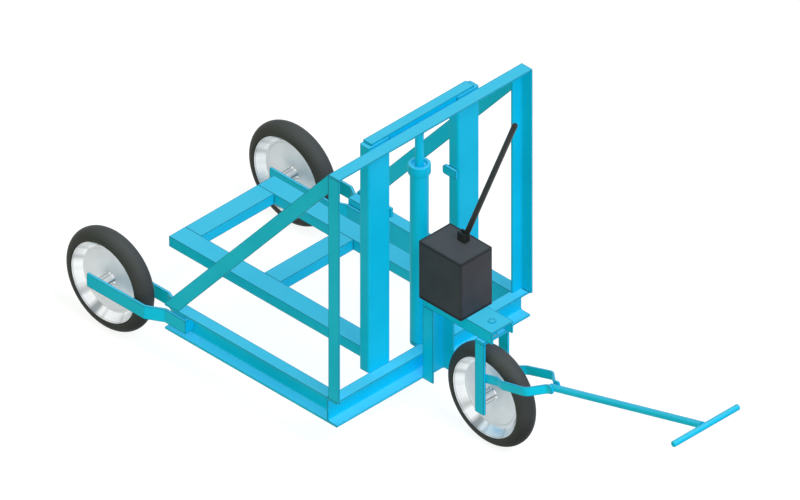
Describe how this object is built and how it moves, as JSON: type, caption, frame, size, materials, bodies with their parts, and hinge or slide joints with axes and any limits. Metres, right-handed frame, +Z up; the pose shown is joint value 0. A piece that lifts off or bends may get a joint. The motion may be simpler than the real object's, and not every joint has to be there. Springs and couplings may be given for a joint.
{
  "type": "hydraulic lift trolley",
  "caption": "Three-wheeled steel lift trolley: portal frame, guided lifting deck on an upright ram, hand pump with lever, and a steered front wheel with a tow handle.",
  "frame": {"origin": "on the ground, below the middle of the overall length and of the overall width", "axes": "+X in the towing direction, towards the tow handle; +Y to the left as the trolley moves; +Z up"},
  "size_m": [2.545, 0.97, 1.2958],
  "materials": {
    "enamel": "gloss sky-blue enamel",
    "bright_steel": "turned",
    "black_steel": "satin black",
    "rim_plate": "zinc plated",
    "rubber": "solid rubber"
  },
  "bodies": {
    "frame": {"front_beam": "enamel", "side_beam_left": "enamel", "side_beam_right": "enamel", "rear_wheel_bar_outer_left": "enamel", "rear_wheel_bar_inner_left": "enamel", "rear_wheel_bar_outer_right": "enamel", "rear_wheel_bar_inner_right": "enamel", "rear_axle_left": "bright_steel", "rear_axle_right": "bright_steel", "post_left": "enamel", "post_right": "enamel", "top_bar": "enamel", "brace_left": "enamel", "brace_right": "enamel", "wear_pad_left": "enamel", "wear_pad_right": "enamel", "ram_seat": "enamel", "ram_barrel": "enamel", "ram_gland": "enamel", "ram_port": "bright_steel", "neck_post": "enamel", "head_bracket": "enamel", "kingpin_sleeve": "enamel", "pump_floor": "black_steel", "pump_casing": "black_steel", "pump_block": "bright_steel", "pump_outlet": "bright_steel", "lever_socket": "black_steel", "lever_pin": "black_steel"},
    "carriage": {"column_left": "enamel", "column_right": "enamel", "column_lug_left": "enamel", "column_lug_right": "enamel", "crosshead": "enamel", "deck_arm_left": "enamel", "deck_arm_right": "enamel", "deck_rear_member": "enamel", "deck_middle_member": "enamel", "ram_rod": "enamel", "piston": "bright_steel"},
    "lever": {"pump_lever": "black_steel"},
    "plunger": {"pump_plunger": "bright_steel"},
    "fork": {"fork_crown": "enamel", "fork_leg_left": "enamel", "fork_leg_right": "enamel", "drawbar_pin_left": "bright_steel", "drawbar_pin_right": "bright_steel", "thrust_washer": "bright_steel", "kingpin": "enamel", "front_axle": "bright_steel"},
    "drawbar": {"yoke_bar_left": "enamel", "yoke_bar_right": "enamel", "tow_rod": "enamel", "tow_handle": "enamel"},
    "rear_left_wheel": {"rear_wheel_left_rim": "rim_plate", "rear_wheel_left_tyre": "rubber"},
    "rear_right_wheel": {"rear_wheel_right_rim": "rim_plate", "rear_wheel_right_tyre": "rubber"},
    "front_wheel": {"front_wheel_rim": "rim_plate", "front_wheel_tyre": "rubber"}
  },
  "joints": [
    {"name": "lift", "type": "slide", "parent": "frame", "child": "carriage", "axis": [0, 0, 1], "range_m": [0, 0.59]},
    {"name": "pump_lever", "type": "hinge", "parent": "frame", "child": "lever", "pos_m": [0.10884, 0.0336, 0.7216], "axis": [0, 1, 0], "range_deg": [-25, 35]},
    {"name": "plunger_slide", "type": "slide", "parent": "frame", "child": "plunger", "axis": [0, 0, 1], "range_m": [-0.016, 0.0225]},
    {"name": "steer", "type": "hinge", "parent": "frame", "child": "fork", "pos_m": [0.26854, 0, 0.4299], "axis": [0, 0, 1], "range_deg": [-90, 90]},
    {"name": "drawbar", "type": "hinge", "parent": "fork", "child": "drawbar", "pos_m": [0.26854, 0, 0.2766], "axis": [0, 1, 0], "range_deg": [-45, 30]},
    {"name": "front_wheel_spin", "type": "hinge", "parent": "fork", "child": "front_wheel", "pos_m": [0.26854, 0, 0.19], "axis": [0, 1, 0], "continuous": true},
    {"name": "rear_left_wheel_spin", "type": "hinge", "parent": "frame", "child": "rear_left_wheel", "pos_m": [-1.08246, -0.425, 0.19], "axis": [0, 1, 0], "continuous": true},
    {"name": "rear_right_wheel_spin", "type": "hinge", "parent": "frame", "child": "rear_right_wheel", "pos_m": [-1.08246, 0.425, 0.19], "axis": [0, 1, 0], "continuous": true}
  ],
  "couplings": [
    {"joint": "plunger_slide", "follows": "pump_lever", "m_per_rad": 0.036}
  ]
}
